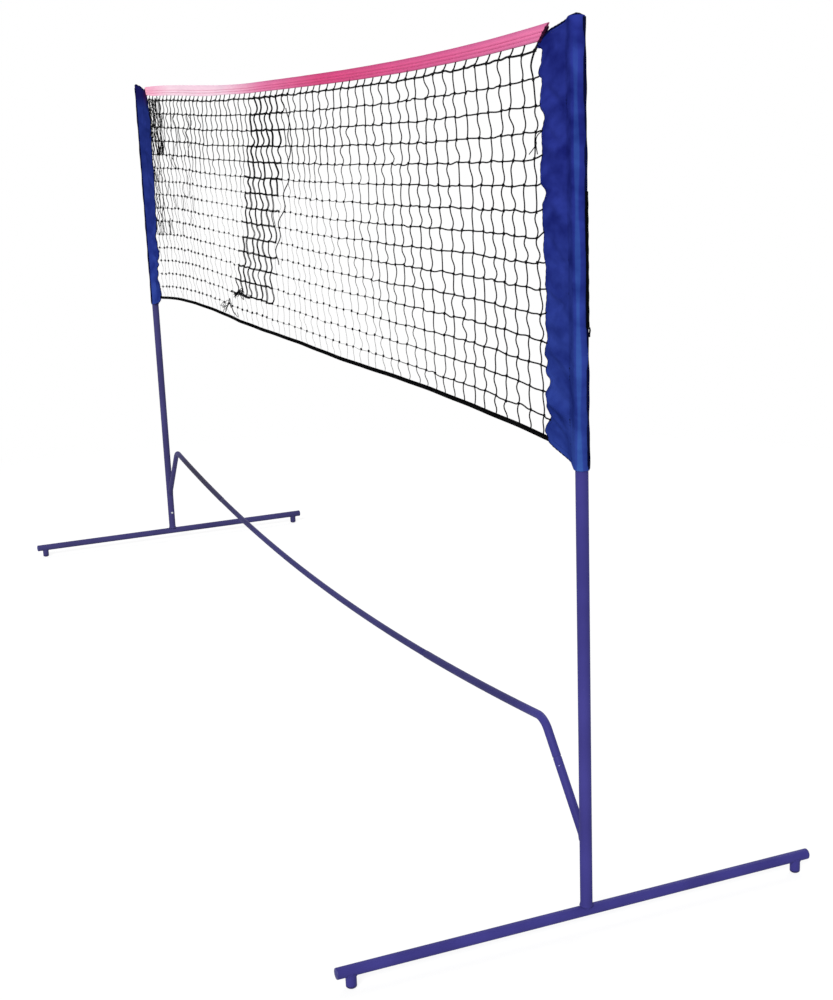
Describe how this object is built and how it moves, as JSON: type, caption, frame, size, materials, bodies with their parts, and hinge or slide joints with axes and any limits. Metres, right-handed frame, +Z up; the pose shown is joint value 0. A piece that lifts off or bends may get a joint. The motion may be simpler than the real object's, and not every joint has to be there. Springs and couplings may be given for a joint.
{
  "type": "mini badminton net",
  "caption": "Free-standing low badminton net: two tube posts on cross feet, a bowed low cross bar, and a knotted net with a top tape held by cloth sleeves.",
  "frame": {"origin": "on the floor, midway between the two posts, in the plane of the net", "axes": "+X along the net from the left post to the right post, +Y to the rear, +Z up"},
  "size_m": [3.028, 0.95, 1.55],
  "materials": {
    "blue_paint": "glossy blue-violet powder coat on steel tube",
    "bare_steel": "bright plated steel",
    "spring_steel": "plain strip steel",
    "black_plastic": "moulded",
    "blue_plastic": "moulded, body colour",
    "black_rubber": "moulded",
    "blue_cloth": "woven polyester",
    "pink_tape": "folded webbing, stitched",
    "black_cord": "black twine and tape",
    "white_cord": "braided cord"
  },
  "bodies": {
    "frame": {"bar_button_spring_left": "spring_steel", "bar_button_spring_right": "spring_steel", "bar_centre_spigot": "bare_steel", "bar_socket_left": "blue_paint", "bar_socket_right": "blue_paint", "bar_tube_left": "blue_paint", "bar_tube_right": "blue_paint", "foot_plug_front_left": "blue_plastic", "foot_plug_front_right": "blue_plastic", "foot_plug_rear_left": "blue_plastic", "foot_plug_rear_right": "blue_plastic", "foot_spigot_left": "blue_paint", "foot_spigot_right": "blue_paint", "foot_stub_front_left": "blue_paint", "foot_stub_front_right": "blue_paint", "foot_stub_rear_left": "blue_paint", "foot_stub_rear_right": "blue_paint", "foot_tube_left": "blue_paint", "foot_tube_right": "blue_paint", "knee_tube_left": "blue_paint", "knee_tube_right": "blue_paint", "lower_post_left": "blue_paint", "lower_post_right": "blue_paint", "post_button_spring_left": "spring_steel", "post_button_spring_right": "spring_steel", "post_cap_left": "black_plastic", "post_cap_right": "black_plastic", "rubber_tip_front_left": "black_rubber", "rubber_tip_front_right": "black_rubber", "rubber_tip_rear_left": "black_rubber", "rubber_tip_rear_right": "black_rubber", "upper_post_left": "blue_paint", "upper_post_right": "blue_paint"},
    "net": {"closure_strip_left": "black_cord", "closure_strip_right": "black_cord", "hem_band": "black_cord", "netting": "black_cord", "pull_loop_left": "black_cord", "pull_loop_right": "black_cord", "sleeve_left": "blue_cloth", "sleeve_right": "blue_cloth", "top_cord": "white_cord", "top_tape": "pink_tape"},
    "bar_button_left": {"bar_button_left": "bare_steel"},
    "bar_button_right": {"bar_button_right": "bare_steel"},
    "post_button_left": {"post_button_left": "bare_steel"},
    "post_button_right": {"post_button_right": "bare_steel"}
  },
  "joints": [
    {"name": "net_lift", "type": "slide", "parent": "frame", "child": "net", "axis": [0, 0, 1], "range_m": [0, 0.72]},
    {"name": "post_button_press_left", "type": "slide", "parent": "frame", "child": "post_button_left", "axis": [-1, 0, 0], "range_m": [0, 0.0042], "stiffness_N_per_m": 600, "springref_m": -0.001, "deforming": ["post_button_spring_left"]},
    {"name": "bar_button_press_left", "type": "slide", "parent": "frame", "child": "bar_button_left", "axis": [0.6363, 0.5592, -0.5314], "range_m": [0, 0.0035], "stiffness_N_per_m": 600, "springref_m": -0.001, "deforming": ["bar_button_spring_left"]},
    {"name": "post_button_press_right", "type": "slide", "parent": "frame", "child": "post_button_right", "axis": [1, 0, 0], "range_m": [0, 0.0042], "stiffness_N_per_m": 600, "springref_m": -0.001, "deforming": ["post_button_spring_right"]},
    {"name": "bar_button_press_right", "type": "slide", "parent": "frame", "child": "bar_button_right", "axis": [-0.6363, 0.5592, -0.5314], "range_m": [0, 0.0035], "stiffness_N_per_m": 600, "springref_m": -0.001, "deforming": ["bar_button_spring_right"]}
  ]
}
